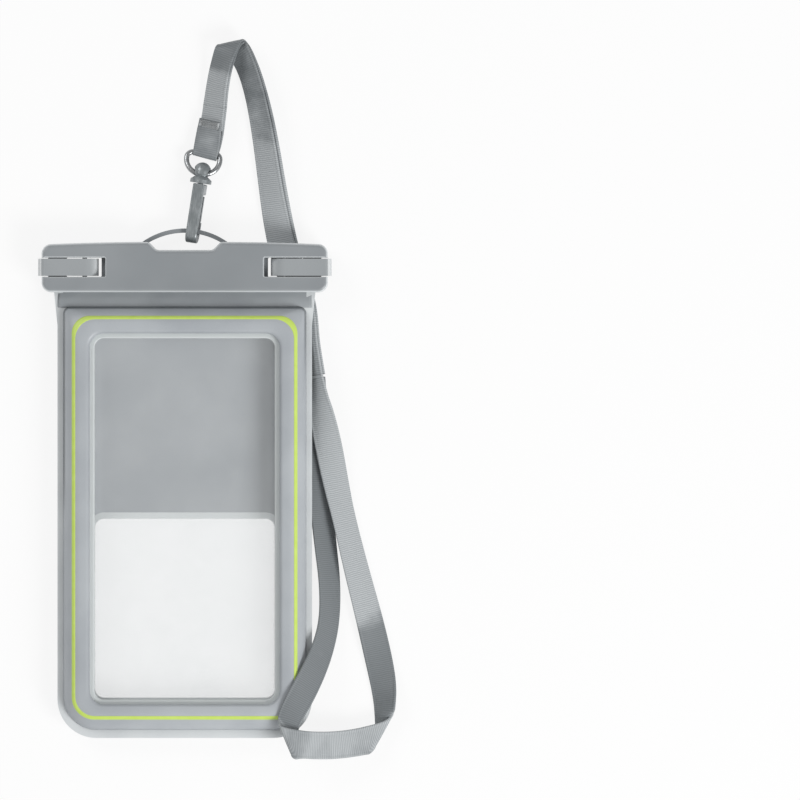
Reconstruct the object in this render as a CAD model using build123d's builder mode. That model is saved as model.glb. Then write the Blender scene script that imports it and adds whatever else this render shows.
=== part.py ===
"""Waterproof phone case: a soft pouch with two windows, shut by a clamp, on a neck lanyard.

The case lies on its back. +X is to the right, +Y points to the clamp and +Z points out of the
front window. The origin is on the surface that the case lies on, under the middle of the case.
"""

from build123d import *
import math
import os

os.makedirs("parts", exist_ok=True)

# Case as a whole
flange_length = 187.0
clamp_height = 20.0
arch_rise = 6.8
case_length = flange_length + clamp_height + arch_rise
bottom_y = -case_length / 2
clamp_y0 = bottom_y + flange_length
clamp_y1 = clamp_y0 + clamp_height

# Pouch
pouch_thickness = 18.0
weld_thickness = 1.0
mid_z = pouch_thickness / 2
cushion_height = (pouch_thickness - weld_thickness) / 2
weld_top_z = mid_z + weld_thickness / 2
weld_back_z = mid_z - weld_thickness / 2
flange_width = 106.8
flange_corner = 16.3
flange_border = 2.4
flange_foot = 3.4
flare = 1.4
flare_length = 14.0
neck_length = 6.2
cushion_half = flange_width / 2 - flange_border
cushion_y0 = bottom_y + flange_foot
cushion_y1 = clamp_y0 - neck_length
cushion_corner = 14.0
cushion_top_corner = 7.5
cushion_edge = 6.5
weld_cover = 9.0

# Windows
window_side = 11.2
window_foot = 10.8
window_head = 11.1
window_corner = 6.0
window_edge = 2.2
window_half = cushion_half - window_side
window_y0 = cushion_y0 + window_foot
window_y1 = cushion_y1 - window_head
window_rim = 2.0
window_rim_height = 1.4
film = 0.5
front_film_z = 13.1
back_wall = 4.6
back_window_ledge = 0.6
back_window_half = window_half + back_window_ledge
back_window_length = 80.4
back_window_corner = 6.5
back_window_edge = 3.0
back_window_rim = 2.6
back_window_rim_height = 1.4

# Coloured line on both cushions
line_inset = 4.4
line_foot = 5.3
line_width = 1.35
line_corner = 8.5
line_depth = 1.2
line_proud = 0.12
line_half = cushion_half - line_inset
line_y0 = cushion_y0 + line_foot
line_y1 = cushion_y1 - line_inset

# Clamp
clamp_overhang = 6.6
clamp_width = flange_width + 2 * clamp_overhang
clamp_depth = 12.4
clamp_corner = 4.0
clamp_edge = 1.7
clamp_crown = 1.1
notch_top_half = 15.1
notch_bottom_half = 11.8
notch_depth = 3.4
notch_top_round = 2.2
notch_bottom_round = 2.6
top_edge_radius = 960.0
clamp_half = clamp_width / 2
clamp_back_z = mid_z - clamp_depth / 2
clamp_front_z = mid_z + clamp_depth / 2
crown_y = clamp_y1 + clamp_crown
notch_y = crown_y - notch_depth

# Arch that the hook hangs on
arch_half = 19.4
arch_foot = 2.8
arch_inner_half = arch_half - arch_foot
arch_bar = 1.8
arch_depth = 3.2
arch_inset = 0.8
arch_back_z = clamp_back_z + arch_inset
arch_y = clamp_y1 + arch_rise
arch_sunk = 0.9

# Neck films and their seal
film_grip = 3.4
neck_half = cushion_half
film_y1 = clamp_y0 + film_grip
slot_gap = 0.3
seal_width = 2.0
seal_depth = 2.2
seal_inset = 1.0
seal_length = 2 * (neck_half - seal_inset)
seal_rise = 1.9
seal_y = clamp_y0 + seal_rise

# Cam levers
latch_inset = 18.0
latch_rise = 10.5
latch_x = clamp_half - latch_inset
latch_y = clamp_y0 + latch_rise
latch_height = 7.2
latch_gap = 0.4
barrel_radius = 5.9
arm_thickness = 2.6
arm_gap = 0.3
latch_proud = 0.7
latch_end_x = clamp_half + latch_proud
latch_plate = 2.3
lip_proud = 0.2
latch_back_z = clamp_back_z - lip_proud
lip_reach = 3.5
lip_thickness = 2.5
tab_reach = 0.9
tab_thickness = 1.1
latch_end_round = 1.8
relief_gap = 0.35
slot_y0 = latch_y - latch_height / 2 - latch_gap
slot_y1 = latch_y + latch_height / 2 + latch_gap
slot_height = slot_y1 - slot_y0
arm_front_z = mid_z + barrel_radius
arm_back_z = arm_front_z - arm_thickness
lip_x = latch_end_x - lip_reach
lip_top_z = latch_back_z + lip_thickness
relief_radius = math.hypot(lip_x - latch_x, lip_top_z - mid_z) - relief_gap
front_window_inner = 8.7
front_window_outer = 8.2
rear_window_inner = 7.1
rear_window_outer = 7.6
front_window_x0 = latch_x - front_window_inner
front_window_x1 = latch_x + front_window_outer
rear_window_x0 = latch_x - rear_window_inner
rear_window_x1 = latch_x + rear_window_outer
window_bevel = 0.5
scoop_length = 14.1
scoop_width = 8.4
scoop_inset = 5.2
scoop_x = clamp_half - scoop_inset + scoop_width / 2
scoop_depth = lip_top_z + arm_gap - clamp_back_z
scoop_draft = 15.0

# Lever pins and the ears that hold them
pin_radius = 1.0
pin_clearance = 0.05
ear_half = 2.2
ear_thickness = 2.4
ear_height = 2.4
ear_gap = 0.3
pin_length = slot_height + 2 * ear_thickness

# Hook, in its own frame: x across, y along its axis from the bottom of the J, z towards the front
hook_x = 2.7
hook_z = 5.25
hook_lean = math.radians(8.8)
hook_roll = math.radians(8.0)
hook_width = 4.8
hook_bar = 3.4
hook_slack = 0.8
hook_y = arch_y - arch_bar - hook_slack - hook_bar
shank_z0 = 2.1
shank_z1 = 4.7
return_z0 = -4.5
return_z1 = -2.7
return_tip = 9.0
hook_outer_round = 4.0
hook_inner_round = 1.2
hook_edge = 0.6
head_y0 = 20.5
head_y1 = 25.0
cheek_thickness = 1.1
cheek_floor = 0.8
post_radius = 1.2
post_gap = 0.08
rivet_radius = 1.85
rivet_height = 0.6

# Gate of the hook
gate_pin_y = 22.5
gate_pin_z = -2.5
gate_pin_radius = 0.7
knuckle_radius = 1.5
knuckle_width = 1.3
gate_width = 4.4
gate_thickness = 1.6
gate_top = 19.9
gate_gap = 0.3
gate_tip = 7.2
gate_tip_thickness = 1.4
cheek_y1 = head_y1 - cheek_floor
cheek_z1 = gate_pin_z + 2 * knuckle_radius
coil_turns = 3
coil_wire = 0.26
coil_gap = 0.03

# Eye that turns on the hook's post
eye_gap = 0.3
eye_flange_radius = 4.5
eye_flange = 1.6
eye_radius = 3.65
eye_neck = 3.1
eye_length = 8.8
eye_hole_radius = 1.7
eye_hole_flare = 2.9
eye_hole_rise = 3.9
eye_y0 = head_y1 + eye_gap
eye_hole_y = eye_y0 + eye_hole_rise

# Ring that carries the webbing
ring_wire = 1.1
ring_width = 14.0
ring_height = 9.4
ring_round = 6.4
ring_bar_round = 2.6
ring_lean = math.radians(5.0)
ring_tilt = math.radians(16.5)

# Webbing of the lanyard
strap_width = 11.6
strap_thickness = 1.1
layer_gap = 0.1
floor_gap = 0.1
doubled_thickness = 2 * strap_thickness + layer_gap
wrap_radius = 2.3
wrap_gap = 0.1
wrap_taper = 8.0
sewn_length = 18.6
sewn_lean = math.radians(13.0)
sewn_gap = 1.45
guide_height = 60.0
lower_layer_z = floor_gap + strap_thickness / 2
upper_layer_z = lower_layer_z + strap_thickness + layer_gap
doubled_z = floor_gap + doubled_thickness / 2


def corner_radii(points):
    """Radius of the arc at each corner of a route, as large as its two runs allow."""
    radii = []
    for before, corner, after in zip(points, points[1:], points[2:]):
        run_in = Vector(*corner) - Vector(*before)
        run_out = Vector(*after) - Vector(*corner)
        half_turn = math.radians(run_in.get_angle(run_out) / 2)
        radii.append(0.45 * min(run_in.length, run_out.length) / math.tan(half_turn))
    return radii


# Shared outlines, seen from the front
with BuildSketch() as clamp_outline:
    with BuildLine():
        Polyline((0, clamp_y0), (clamp_half, clamp_y0), (clamp_half, clamp_y1))
        RadiusArc((clamp_half, clamp_y1), (notch_top_half, crown_y), -top_edge_radius)
        Polyline((notch_top_half, crown_y), (notch_bottom_half, notch_y), (0, notch_y), (0, clamp_y0))
    make_face()
    fillet(vertices().group_by(Axis.X)[-1], clamp_corner)
    fillet(vertices().sort_by_distance((notch_top_half, crown_y))[0], notch_top_round)
    fillet(vertices().sort_by_distance((notch_bottom_half, notch_y))[0], notch_bottom_round)
    mirror(about=Plane.YZ)

with BuildSketch() as cushion_outline:
    with Locations((0, (cushion_y0 + cushion_y1) / 2)):
        Rectangle(2 * cushion_half, cushion_y1 - cushion_y0)
    fillet(vertices().group_by(Axis.Y)[0], cushion_corner)
    fillet(vertices().group_by(Axis.Y)[-1], cushion_top_corner)

with BuildSketch() as window_outline:
    with Locations((0, (window_y0 + window_y1) / 2)):
        RectangleRounded(2 * window_half, window_y1 - window_y0, window_corner)

with BuildSketch() as back_window_outline:
    with Locations((0, window_y0 + back_window_length / 2)):
        RectangleRounded(2 * back_window_half, back_window_length, back_window_corner)

with BuildSketch() as line_outline:
    with Locations((0, (line_y0 + line_y1) / 2)):
        RectangleRounded(
            2 * line_half + line_width,
            line_y1 - line_y0 + line_width,
            line_corner + line_width / 2,
        )
        RectangleRounded(
            2 * line_half - line_width,
            line_y1 - line_y0 - line_width,
            line_corner - line_width / 2,
            mode=Mode.SUBTRACT,
        )

# Pouch
with BuildPart() as weld_flange:
    with BuildSketch(Plane.XY.offset(weld_back_z)):
        with BuildLine():
            Polyline(
                (0, bottom_y),
                (flange_width / 2, bottom_y),
                (flange_width / 2, clamp_y0 - flare_length),
                (flange_width / 2 + flare, clamp_y0),
                (flange_width / 2 + flare, film_y1),
                (neck_half, film_y1),
                (neck_half, cushion_y1),
                (cushion_half - weld_cover, cushion_y1),
                (cushion_half - weld_cover, cushion_y0 + weld_cover),
                (0, cushion_y0 + weld_cover),
                (0, bottom_y),
            )
        make_face()
        outer_corner = vertices().sort_by_distance((flange_width / 2, bottom_y))[0]
        inner_corner = vertices().sort_by_distance((cushion_half - weld_cover, cushion_y0 + weld_cover))[0]
        fillet(outer_corner, flange_corner)
        fillet(inner_corner, window_corner)
        mirror(about=Plane.YZ)
    extrude(amount=weld_thickness)
weld_flange.part.label = "weld_flange"
export_step(weld_flange.part, "parts/weld_flange.step")

with BuildPart() as front_cushion:
    with BuildSketch(Plane.XY.offset(weld_top_z)):
        add(cushion_outline.sketch)
    extrude(amount=cushion_height)
    fillet(faces().sort_by(Axis.Z)[-1].edges(), cushion_edge)
    with BuildSketch(Plane.XY.offset(weld_top_z)):
        add(window_outline.sketch)
    extrude(amount=cushion_height, mode=Mode.SUBTRACT)
    fillet(faces().sort_by(Axis.Z)[-1].inner_wires()[0].edges(), window_edge)
    with BuildSketch(Plane.XY.offset(pouch_thickness - line_depth)):
        add(line_outline.sketch)
    extrude(amount=line_depth, mode=Mode.SUBTRACT)
front_cushion.part.label = "front_cushion"
export_step(front_cushion.part, "parts/front_cushion.step")

with BuildPart() as back_cushion:
    with BuildSketch(Plane.XY):
        add(cushion_outline.sketch)
    extrude(amount=cushion_height)
    fillet(faces().sort_by(Axis.Z)[0].edges(), cushion_edge)
    with BuildSketch(Plane.XY.offset(back_wall)):
        add(window_outline.sketch)
    extrude(amount=cushion_height - back_wall, mode=Mode.SUBTRACT)
    with BuildSketch(Plane.XY):
        add(back_window_outline.sketch)
    extrude(amount=back_wall, mode=Mode.SUBTRACT)
    fillet(faces().sort_by(Axis.Z)[0].inner_wires()[0].edges(), back_window_edge)
    with BuildSketch(Plane.XY):
        add(line_outline.sketch)
    extrude(amount=line_depth, mode=Mode.SUBTRACT)
back_cushion.part.label = "back_cushion"
export_step(back_cushion.part, "parts/back_cushion.step")

with BuildPart() as cushion_skin:
    with BuildSketch(Plane.XY.offset(weld_top_z)):
        add(cushion_outline.sketch)
        offset(amount=line_proud)
    extrude(amount=cushion_height + line_proud)
    fillet(faces().sort_by(Axis.Z)[-1].edges(), cushion_edge)

with BuildPart() as accent_line_front:
    with BuildSketch(Plane.XY.offset(pouch_thickness - line_depth)):
        add(line_outline.sketch)
    extrude(amount=2 * line_depth)
    add(cushion_skin.part, mode=Mode.INTERSECT)
accent_line_front.part.label = "accent_line_front"
export_step(accent_line_front.part, "parts/accent_line_front.step")

with BuildPart() as accent_line_back:
    mirror(accent_line_front.part, about=Plane.XY.offset(mid_z))
accent_line_back.part.label = "accent_line_back"
export_step(accent_line_back.part, "parts/accent_line_back.step")

with BuildPart() as front_window:
    with BuildSketch(Plane.XY.offset(front_film_z)):
        add(window_outline.sketch)
    extrude(amount=film)
    with BuildSketch(Plane.XY.offset(front_film_z)):
        add(window_outline.sketch)
        offset(window_outline.sketch, amount=-window_rim, mode=Mode.SUBTRACT)
    extrude(amount=window_rim_height)
    chamfer(faces().sort_by(Axis.Z)[-1].inner_wires()[0].edges(), film)
front_window.part.label = "front_window"
export_step(front_window.part, "parts/front_window.step")

with BuildPart() as back_window:
    with BuildSketch(Plane.XY.offset(back_wall)):
        add(back_window_outline.sketch)
    extrude(amount=-film)
    with BuildSketch(Plane.XY.offset(back_wall)):
        add(back_window_outline.sketch)
        offset(back_window_outline.sketch, amount=-back_window_rim, mode=Mode.SUBTRACT)
    extrude(amount=-back_window_rim_height)
    chamfer(faces().sort_by(Axis.Z)[0].inner_wires()[0].edges(), film)
back_window.part.label = "back_window"
export_step(back_window.part, "parts/back_window.step")

with BuildPart() as mouth_film_front:
    with BuildSketch(Plane.YZ.offset(-neck_half)):
        with BuildLine():
            Polyline(
                (cushion_y1, weld_top_z),
                (cushion_y1, weld_top_z + film),
                (cushion_y1 + neck_length / 3, weld_top_z + film),
                (clamp_y0 - film, mid_z + film),
                (film_y1, mid_z + film),
                (film_y1, mid_z),
                (clamp_y0 - film, mid_z),
                (cushion_y1 + neck_length / 3, weld_top_z),
                close=True,
            )
        make_face()
    extrude(amount=2 * neck_half)
mouth_film_front.part.label = "mouth_film_front"
export_step(mouth_film_front.part, "parts/mouth_film_front.step")

with BuildPart() as mouth_film_back:
    mirror(mouth_film_front.part, about=Plane.XY.offset(mid_z))
mouth_film_back.part.label = "mouth_film_back"
export_step(mouth_film_back.part, "parts/mouth_film_back.step")

# Clamp
with BuildPart() as rear_jaw:
    with BuildSketch(Plane.XY.offset(clamp_back_z)):
        add(clamp_outline.sketch)
    extrude(amount=clamp_depth / 2)
    fillet(faces().sort_by(Axis.Z)[0].edges(), clamp_edge)
    # Arch over the notch
    with BuildSketch(Plane.XY.offset(arch_back_z)):
        with BuildLine():
            ThreePointArc((-arch_half, clamp_y1), (0, arch_y), (arch_half, clamp_y1))
            Polyline(
                (arch_half, clamp_y1),
                (arch_half, clamp_y1 - arch_sunk),
                (arch_inner_half, clamp_y1 - arch_sunk),
                (arch_inner_half, clamp_y1),
            )
            ThreePointArc((arch_inner_half, clamp_y1), (0, arch_y - arch_bar), (-arch_inner_half, clamp_y1))
            Polyline(
                (-arch_inner_half, clamp_y1),
                (-arch_inner_half, clamp_y1 - arch_sunk),
                (-arch_half, clamp_y1 - arch_sunk),
                (-arch_half, clamp_y1),
            )
        make_face()
    extrude(amount=arch_depth)
    # Windows for the lever barrels, right through this jaw
    with BuildSketch(Plane.XY.offset(clamp_back_z)):
        with Locations(((rear_window_x0 + rear_window_x1) / 2, latch_y)):
            RectangleRounded(rear_window_x1 - rear_window_x0, slot_height, window_bevel)
        mirror(about=Plane.YZ)
    extrude(amount=clamp_depth / 2, mode=Mode.SUBTRACT)
    with BuildSketch(Plane.XY.offset(clamp_back_z)):
        with Locations(((rear_window_x0 + rear_window_x1) / 2, latch_y)):
            RectangleRounded(
                rear_window_x1 - rear_window_x0 + 2 * window_bevel,
                slot_height + 2 * window_bevel,
                2 * window_bevel,
            )
        mirror(about=Plane.YZ)
    extrude(amount=window_bevel, taper=45, mode=Mode.SUBTRACT)
    # Scoops that the lever lips snap into
    with BuildSketch(Plane.XY.offset(clamp_back_z)):
        with Locations((scoop_x, latch_y)):
            SlotOverall(scoop_length, scoop_width, rotation=90)
        mirror(about=Plane.YZ)
    extrude(amount=scoop_depth, taper=scoop_draft, mode=Mode.SUBTRACT)
    # Bar ends cut back on a circle round the pin, so that the lips can swing past
    with BuildSketch(Plane.XZ.offset(-slot_y1)):
        with Locations((clamp_half, mid_z)):
            Rectangle(2 * lip_reach, clamp_depth)
        with Locations((latch_x, mid_z)):
            Circle(relief_radius, mode=Mode.SUBTRACT)
        mirror(about=Plane.YZ)
    extrude(amount=slot_height, mode=Mode.SUBTRACT)
    # Mouth slot and seal groove
    with BuildSketch(Plane.XY.offset(weld_back_z)):
        with Locations((0, clamp_y0)):
            Rectangle(flange_width + 2 * flare + 2 * slot_gap, 2 * (film_grip + slot_gap))
    extrude(amount=weld_thickness / 2, mode=Mode.SUBTRACT)
    with BuildSketch(Plane.XY.offset(weld_back_z)):
        with Locations((0, seal_y)):
            Rectangle(seal_length, seal_width)
    extrude(amount=-seal_depth, mode=Mode.SUBTRACT)
    # Ears that stand up into the other jaw and carry the lever pins
    with BuildSketch(Plane.XZ.offset(-(slot_y1 + ear_thickness))):
        with Locations((latch_x, mid_z)):
            Rectangle(2 * ear_half, 2 * ear_height)
            fillet(vertices().group_by(Axis.Y)[-1], ear_half / 2)
        mirror(about=Plane.YZ)
    extrude(amount=ear_thickness)
    with BuildSketch(Plane.XZ.offset(-slot_y0)):
        with Locations((latch_x, mid_z)):
            Rectangle(2 * ear_half, 2 * ear_height)
            fillet(vertices().group_by(Axis.Y)[-1], ear_half / 2)
        mirror(about=Plane.YZ)
    extrude(amount=ear_thickness)
    with BuildSketch(Plane.XZ.offset(-(slot_y1 + ear_thickness))):
        with Locations((latch_x, mid_z), (-latch_x, mid_z)):
            Circle(pin_radius)
    extrude(amount=pin_length, mode=Mode.SUBTRACT)
rear_jaw.part.label = "rear_jaw"
export_step(rear_jaw.part, "parts/rear_jaw.step")

with BuildPart() as front_jaw:
    with BuildSketch(Plane.XY.offset(mid_z)):
        add(clamp_outline.sketch)
    extrude(amount=clamp_depth / 2)
    fillet(faces().sort_by(Axis.Z)[-1].edges(), clamp_edge)
    # Windows for the lever barrels, right through this jaw
    with BuildSketch(Plane.XY.offset(mid_z)):
        with Locations(((front_window_x0 + front_window_x1) / 2, latch_y)):
            RectangleRounded(front_window_x1 - front_window_x0, slot_height, window_bevel)
        mirror(about=Plane.YZ)
    extrude(amount=clamp_depth / 2, mode=Mode.SUBTRACT)
    # Recesses for the lever arms, open at the bar ends, with a bevelled border
    with BuildSketch(Plane.XY.offset(arm_back_z - arm_gap)):
        with Locations(((front_window_x1 + latch_end_x) / 2, latch_y)):
            Rectangle(latch_end_x - front_window_x1 + 2 * window_bevel, slot_height)
        mirror(about=Plane.YZ)
    extrude(amount=arm_thickness + clamp_edge, mode=Mode.SUBTRACT)
    with BuildSketch(Plane.XY.offset(clamp_front_z)):
        with Locations(((front_window_x0 - window_bevel + clamp_half + clamp_edge) / 2, latch_y)):
            RectangleRounded(
                clamp_half + clamp_edge - front_window_x0 + window_bevel,
                slot_height + 2 * window_bevel,
                2 * window_bevel,
            )
        mirror(about=Plane.YZ)
    extrude(amount=-window_bevel, taper=45, mode=Mode.SUBTRACT)
    # Bar ends cut back on a circle round the pin
    with BuildSketch(Plane.XZ.offset(-slot_y1)):
        with Locations((clamp_half, mid_z)):
            Rectangle(2 * lip_reach, clamp_depth)
        with Locations((latch_x, mid_z)):
            Circle(relief_radius, mode=Mode.SUBTRACT)
        mirror(about=Plane.YZ)
    extrude(amount=slot_height, mode=Mode.SUBTRACT)
    # Mouth slot, and pockets for the ears of the rear jaw
    with BuildSketch(Plane.XY.offset(mid_z)):
        with Locations((0, clamp_y0)):
            Rectangle(flange_width + 2 * flare + 2 * slot_gap, 2 * (film_grip + slot_gap))
    extrude(amount=weld_thickness / 2, mode=Mode.SUBTRACT)
    with BuildSketch(Plane.XY.offset(mid_z)):
        with Locations((latch_x, latch_y), (-latch_x, latch_y)):
            Rectangle(2 * (ear_half + ear_gap), pin_length + 2 * ear_gap)
    extrude(amount=ear_height + ear_gap, mode=Mode.SUBTRACT)
front_jaw.part.label = "front_jaw"
export_step(front_jaw.part, "parts/front_jaw.step")

with BuildPart() as mouth_seal:
    with BuildSketch(Plane.XY.offset(weld_back_z)):
        with Locations((0, seal_y)):
            Rectangle(seal_length, seal_width)
    extrude(amount=-seal_depth)
mouth_seal.part.label = "mouth_seal"
export_step(mouth_seal.part, "parts/mouth_seal.step")

# Cam levers: a barrel on the pin, an arm along the front and an end that wraps the bar
with BuildPart() as right_latch:
    with BuildSketch(Plane.XZ.offset(-(latch_y + latch_height / 2))):
        with BuildLine():
            Polyline(
                (latch_x, arm_front_z),
                (latch_end_x, arm_front_z),
                (latch_end_x, latch_back_z + 2 * tab_thickness),
                (latch_end_x + tab_reach, latch_back_z + tab_thickness),
                (latch_end_x + tab_reach, latch_back_z),
                (lip_x, latch_back_z),
                (lip_x, lip_top_z),
                (latch_end_x - latch_plate, lip_top_z),
                (latch_end_x - latch_plate, arm_back_z),
                (latch_x, arm_back_z),
                close=True,
            )
        make_face()
        outer_bend = vertices().sort_by_distance((latch_end_x, arm_front_z))[0]
        inner_bend = vertices().sort_by_distance((latch_end_x - latch_plate, arm_back_z))[0]
        fillet(outer_bend, latch_end_round)
        fillet(inner_bend, latch_end_round / 2)
        with Locations((latch_x, mid_z)):
            Circle(barrel_radius)
            Circle(pin_radius + pin_clearance, mode=Mode.SUBTRACT)
    extrude(amount=latch_height)
right_latch.part.label = "right_latch"
export_step(right_latch.part, "parts/right_latch.step")

with BuildPart() as left_latch:
    mirror(right_latch.part, about=Plane.YZ)
left_latch.part.label = "left_latch"
export_step(left_latch.part, "parts/left_latch.step")

with BuildPart() as right_latch_pin:
    with BuildSketch(Plane.XZ.offset(-(slot_y1 + ear_thickness))):
        with Locations((latch_x, mid_z)):
            Circle(pin_radius)
    extrude(amount=pin_length)
right_latch_pin.part.label = "right_latch_pin"
export_step(right_latch_pin.part, "parts/right_latch_pin.step")

with BuildPart() as left_latch_pin:
    mirror(right_latch_pin.part, about=Plane.YZ)
left_latch_pin.part.label = "left_latch_pin"
export_step(left_latch_pin.part, "parts/left_latch_pin.step")

# Snap hook
hook_axis = Vector(math.sin(hook_lean), math.cos(hook_lean), 0)
hook_across = Vector(math.cos(hook_lean), -math.sin(hook_lean), 0)
hook_front = Vector(0, 0, 1) * math.cos(hook_roll) - hook_across * math.sin(hook_roll)
hook_side = hook_across * math.cos(hook_roll) + Vector(0, 0, 1) * math.sin(hook_roll)
hook_frame = Plane(origin=(hook_x, hook_y, hook_z), x_dir=hook_side, z_dir=hook_front)
hook_section = Plane(origin=(hook_x, hook_y, hook_z), x_dir=hook_axis, z_dir=hook_side)

with BuildPart() as hook_body:
    # The J, seen from its side: shank in front, bar below, return arm behind, head above
    with BuildSketch(hook_section):
        with BuildLine():
            Polyline(
                (head_y1, shank_z1),
                (0, shank_z1),
                (0, return_z0),
                (return_tip, return_z0),
                (return_tip, return_z1),
                (hook_bar, return_z1),
                (hook_bar, shank_z0),
                (head_y0, shank_z0),
                (head_y0, return_z0),
                (head_y1, return_z0),
                close=True,
            )
        make_face()
        for outer in ((0, shank_z1), (0, return_z0)):
            fillet(vertices().sort_by_distance(outer)[0], hook_outer_round)
        for inner in ((hook_bar, return_z1), (hook_bar, shank_z0), (head_y0, shank_z0)):
            fillet(vertices().sort_by_distance(inner)[0], hook_inner_round)
    extrude(amount=hook_width / 2, both=True)
    sides = faces().sort_by(Axis(hook_frame.origin, hook_side))
    fillet(sides[0].edges() + sides[-1].edges(), hook_edge)
    # Slot between the cheeks for the gate's knuckle
    with BuildSketch(hook_section):
        with Locations(((head_y0 + cheek_y1) / 2, (return_z0 + cheek_z1) / 2)):
            Rectangle(cheek_y1 - head_y0, cheek_z1 - return_z0)
    extrude(amount=hook_width / 2 - cheek_thickness, both=True, mode=Mode.SUBTRACT)
    with BuildSketch(hook_section):
        with Locations((gate_pin_y, gate_pin_z)):
            Circle(gate_pin_radius)
    extrude(amount=hook_width / 2, both=True, mode=Mode.SUBTRACT)
    # Post and rivet head that the eye turns on
    with BuildSketch(hook_frame):
        with BuildLine():
            Polyline(
                (0, head_y1 - cheek_floor / 2),
                (post_radius, head_y1 - cheek_floor / 2),
                (post_radius, eye_y0 + eye_flange + post_gap),
                (rivet_radius, eye_y0 + eye_flange + post_gap),
                (rivet_radius, eye_y0 + eye_flange + post_gap + rivet_height),
                (0, eye_y0 + eye_flange + post_gap + rivet_height),
                close=True,
            )
        make_face()
    revolve(axis=Axis(hook_frame.origin, hook_axis))
hook_body.part.label = "hook_body"
export_step(hook_body.part, "parts/hook_body.step")

with BuildPart() as gate_pin:
    with BuildSketch(hook_section):
        with Locations((gate_pin_y, gate_pin_z)):
            Circle(gate_pin_radius)
    extrude(amount=hook_width / 2, both=True)
gate_pin.part.label = "gate_pin"
export_step(gate_pin.part, "parts/gate_pin.step")

gate_z0 = gate_pin_z - gate_thickness / 2
gate_z1 = gate_pin_z + gate_thickness / 2
gate_tip_z0 = return_z1 + gate_gap
knuckle_x0 = cheek_thickness - hook_width / 2 + gate_gap / 3

with BuildPart() as hook_gate:
    # Arm, with a tip that closes inside the return arm
    with BuildSketch(hook_section):
        with BuildLine():
            Polyline(
                (gate_top, gate_z0),
                (return_tip + gate_gap, gate_z0),
                (return_tip + gate_gap, gate_tip_z0),
                (gate_tip, gate_tip_z0),
                (gate_tip, gate_tip_z0 + gate_tip_thickness),
                (return_tip + gate_gap, gate_tip_z0 + gate_tip_thickness),
                (gate_top, gate_z1),
                close=True,
            )
        make_face()
    extrude(amount=gate_width / 2, both=True)
    # Neck and knuckle, narrow enough to leave room for the spring
    with BuildSketch(hook_section.offset(knuckle_x0)):
        with Locations(((gate_pin_y + gate_top) / 2 - gate_gap, gate_pin_z)):
            Rectangle(gate_pin_y - gate_top + 2 * gate_gap, gate_thickness)
        with Locations((gate_pin_y, gate_pin_z)):
            Circle(knuckle_radius)
            Circle(gate_pin_radius + pin_clearance, mode=Mode.SUBTRACT)
    extrude(amount=knuckle_width)
    with BuildSketch(hook_section.offset(knuckle_x0)):
        with Locations((gate_pin_y, gate_pin_z)):
            Circle(gate_pin_radius + pin_clearance)
    extrude(amount=knuckle_width, mode=Mode.SUBTRACT)
hook_gate.part.label = "hook_gate"
export_step(hook_gate.part, "parts/hook_gate.step")

coil_radius = gate_pin_radius + coil_wire
coil_pitch = coil_wire + coil_gap
coil_x0 = knuckle_x0 + knuckle_width + coil_gap + coil_wire / 2
coil_start = hook_section.from_local_coords(Vector(gate_pin_y, gate_pin_z, coil_x0))

with BuildPart() as gate_spring:
    with BuildLine() as coil_line:
        Helix(coil_pitch, coil_turns * coil_pitch, coil_radius, center=coil_start, direction=hook_side)
    with BuildSketch(Plane(origin=coil_line.line @ 0, z_dir=coil_line.line % 0)):
        RegularPolygon(coil_wire / 2, 6)
    sweep(is_frenet=True)
gate_spring.part.label = "gate_spring"
export_step(gate_spring.part, "parts/gate_spring.step")

with BuildPart() as swivel_eye:
    with BuildSketch(hook_frame):
        with BuildLine():
            Polyline(
                (0, eye_y0),
                (eye_flange_radius, eye_y0),
                (eye_flange_radius, eye_y0 + eye_flange),
                (eye_neck, eye_y0 + eye_flange + eye_flange_radius - eye_neck),
                (eye_radius, eye_hole_y),
                (eye_radius, eye_y0 + eye_length - eye_radius),
            )
            RadiusArc((eye_radius, eye_y0 + eye_length - eye_radius), (0, eye_y0 + eye_length), -eye_radius)
            Line((0, eye_y0 + eye_length), (0, eye_y0))
        make_face()
    revolve(axis=Axis(hook_frame.origin, hook_axis))
    # Bore for the post, with a chamber for the rivet head
    with BuildSketch(hook_frame):
        with BuildLine():
            Polyline(
                (0, eye_y0),
                (post_radius + post_gap, eye_y0),
                (post_radius + post_gap, eye_y0 + eye_flange),
                (rivet_radius + post_gap, eye_y0 + eye_flange),
                (rivet_radius + post_gap, eye_hole_y),
                (0, eye_hole_y),
                close=True,
            )
        make_face()
    revolve(axis=Axis(hook_frame.origin, hook_axis), mode=Mode.SUBTRACT)
    # Cross hole, flared both ways so that the bent ring passes through
    with BuildSketch(hook_frame):
        with BuildLine():
            Polyline(
                (-eye_flange_radius, eye_hole_y),
                (-eye_flange_radius, eye_hole_y + eye_hole_flare),
                (-eye_radius, eye_hole_y + eye_hole_flare),
                (-eye_hole_radius / 2, eye_hole_y + eye_hole_radius),
                (eye_hole_radius / 2, eye_hole_y + eye_hole_radius),
                (eye_radius, eye_hole_y + eye_hole_flare),
                (eye_flange_radius, eye_hole_y + eye_hole_flare),
                (eye_flange_radius, eye_hole_y),
                close=True,
            )
        make_face()
    hole_axis = Axis(hook_frame.from_local_coords(Vector(0, eye_hole_y, 0)), hook_side)
    revolve(axis=hole_axis, mode=Mode.SUBTRACT)
swivel_eye.part.label = "swivel_eye"
export_step(swivel_eye.part, "parts/swivel_eye.step")

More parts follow.
